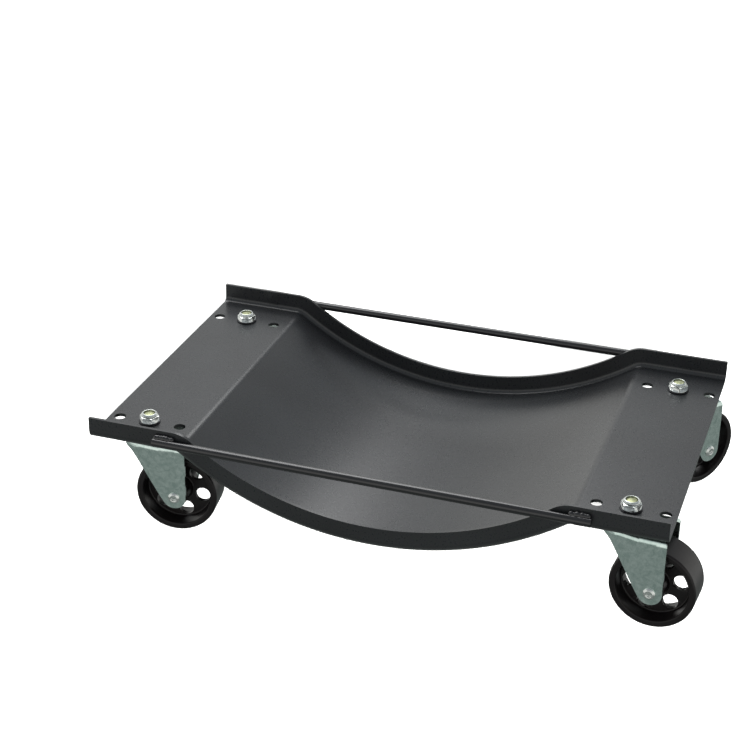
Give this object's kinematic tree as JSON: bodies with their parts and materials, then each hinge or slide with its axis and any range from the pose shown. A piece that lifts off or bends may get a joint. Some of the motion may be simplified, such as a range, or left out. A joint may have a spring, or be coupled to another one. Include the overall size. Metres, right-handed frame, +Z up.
{
  "type": "wheel dolly",
  "caption": "Low pressed steel dolly with a curved cradle for a vehicle's tyre, turned-up flanges, side rods and swivel casters.",
  "frame": {"origin": "on the floor under the centre of the whole dolly's bounding box, with the casters in their rest pose", "axes": "+X along the cradle's curve towards the right end panel, +Y across the dolly towards the far side, +Z up"},
  "size_m": [0.5575, 0.3506, 0.121],
  "materials": {
    "deck_paint": "satin dark grey powder coat",
    "rod_paint": "semi-gloss black paint",
    "black_race": "blackened pressed steel, greased",
    "bearing_steel": "ground and polished steel",
    "bright_zinc": "bright zinc plate",
    "blue_zinc": "blue-green passivated zinc plate, satin",
    "wheel_paint": "gloss black enamel on cast iron",
    "bronze": "oiled sintered bronze"
  },
  "bodies": {
    "deck": {"deck": "deck_paint", "near_rod": "rod_paint", "far_rod": "rod_paint", "rod_welds": "rod_paint", "near_left_top_race": "black_race", "near_left_lower_race": "black_race", "near_left_kingpin": "bright_zinc", "near_left_kingpin_washer": "black_race", "near_left_kingpin_nut": "bright_zinc", "near_right_top_race": "black_race", "near_right_lower_race": "black_race", "near_right_kingpin": "bright_zinc", "near_right_kingpin_washer": "black_race", "near_right_kingpin_nut": "bright_zinc", "far_left_top_race": "black_race", "far_left_lower_race": "black_race", "far_left_kingpin": "bright_zinc", "far_left_kingpin_washer": "black_race", "far_left_kingpin_nut": "bright_zinc", "far_right_top_race": "black_race", "far_right_lower_race": "black_race", "far_right_kingpin": "bright_zinc", "far_right_kingpin_washer": "black_race", "far_right_kingpin_nut": "bright_zinc"},
    "near_left_fork": {"near_left_fork": "blue_zinc", "near_left_axle": "bright_zinc", "near_left_axle_sleeve": "bearing_steel", "near_left_side_washers": "bright_zinc"},
    "near_left_balls": {"near_left_upper_balls": "bearing_steel", "near_left_lower_balls": "bearing_steel"},
    "near_left_wheel": {"near_left_wheel": "wheel_paint", "near_left_wheel_bush": "bronze"},
    "near_right_fork": {"near_right_fork": "blue_zinc", "near_right_axle": "bright_zinc", "near_right_axle_sleeve": "bearing_steel", "near_right_side_washers": "bright_zinc"},
    "near_right_balls": {"near_right_upper_balls": "bearing_steel", "near_right_lower_balls": "bearing_steel"},
    "near_right_wheel": {"near_right_wheel": "wheel_paint", "near_right_wheel_bush": "bronze"},
    "far_left_fork": {"far_left_fork": "blue_zinc", "far_left_axle": "bright_zinc", "far_left_axle_sleeve": "bearing_steel", "far_left_side_washers": "bright_zinc"},
    "far_left_balls": {"far_left_upper_balls": "bearing_steel", "far_left_lower_balls": "bearing_steel"},
    "far_left_wheel": {"far_left_wheel": "wheel_paint", "far_left_wheel_bush": "bronze"},
    "far_right_fork": {"far_right_fork": "blue_zinc", "far_right_axle": "bright_zinc", "far_right_axle_sleeve": "bearing_steel", "far_right_side_washers": "bright_zinc"},
    "far_right_balls": {"far_right_upper_balls": "bearing_steel", "far_right_lower_balls": "bearing_steel"},
    "far_right_wheel": {"far_right_wheel": "wheel_paint", "far_right_wheel_bush": "bronze"}
  },
  "joints": [
    {"name": "near_left_swivel", "type": "hinge", "parent": "deck", "child": "near_left_fork", "pos_m": [-0.23877, -0.12412, 0.1], "axis": [0, 0, 1], "continuous": true},
    {"name": "near_left_ball_roll", "type": "hinge", "parent": "deck", "child": "near_left_balls", "pos_m": [-0.23877, -0.12412, 0.1], "axis": [0, 0, 1], "continuous": true},
    {"name": "near_left_wheel_spin", "type": "hinge", "parent": "near_left_fork", "child": "near_left_wheel", "pos_m": [-0.21105, -0.12022, 0.0385], "axis": [-0.1392, 0.9903, 0], "continuous": true},
    {"name": "near_right_swivel", "type": "hinge", "parent": "deck", "child": "near_right_fork", "pos_m": [0.21122, -0.12412, 0.1], "axis": [0, 0, 1], "continuous": true},
    {"name": "near_right_ball_roll", "type": "hinge", "parent": "deck", "child": "near_right_balls", "pos_m": [0.21122, -0.12412, 0.1], "axis": [0, 0, 1], "continuous": true},
    {"name": "near_right_wheel_spin", "type": "hinge", "parent": "near_right_fork", "child": "near_right_wheel", "pos_m": [0.23914, -0.12632, 0.0385], "axis": [0.0785, 0.9969, 0], "continuous": true},
    {"name": "far_left_swivel", "type": "hinge", "parent": "deck", "child": "far_left_fork", "pos_m": [-0.23877, 0.11288, 0.1], "axis": [0, 0, 1], "continuous": true},
    {"name": "far_left_ball_roll", "type": "hinge", "parent": "deck", "child": "far_left_balls", "pos_m": [-0.23877, 0.11288, 0.1], "axis": [0, 0, 1], "continuous": true},
    {"name": "far_left_wheel_spin", "type": "hinge", "parent": "far_left_fork", "child": "far_left_wheel", "pos_m": [-0.21215, 0.12153, 0.0385], "axis": [-0.309, 0.9511, 0], "continuous": true},
    {"name": "far_right_swivel", "type": "hinge", "parent": "deck", "child": "far_right_fork", "pos_m": [0.21122, 0.11288, 0.1], "axis": [0, 0, 1], "continuous": true},
    {"name": "far_right_ball_roll", "type": "hinge", "parent": "deck", "child": "far_right_balls", "pos_m": [0.21122, 0.11288, 0.1], "axis": [0, 0, 1], "continuous": true},
    {"name": "far_right_wheel_spin", "type": "hinge", "parent": "far_right_fork", "child": "far_right_wheel", "pos_m": [0.22808, 0.13524, 0.0385], "axis": [-0.7986, 0.6018, 0], "continuous": true}
  ],
  "couplings": [
    {"joint": "near_left_ball_roll", "follows": "near_left_swivel", "ratio": 0.5},
    {"joint": "near_right_ball_roll", "follows": "near_right_swivel", "ratio": 0.5},
    {"joint": "far_left_ball_roll", "follows": "far_left_swivel", "ratio": 0.5},
    {"joint": "far_right_ball_roll", "follows": "far_right_swivel", "ratio": 0.5}
  ]
}
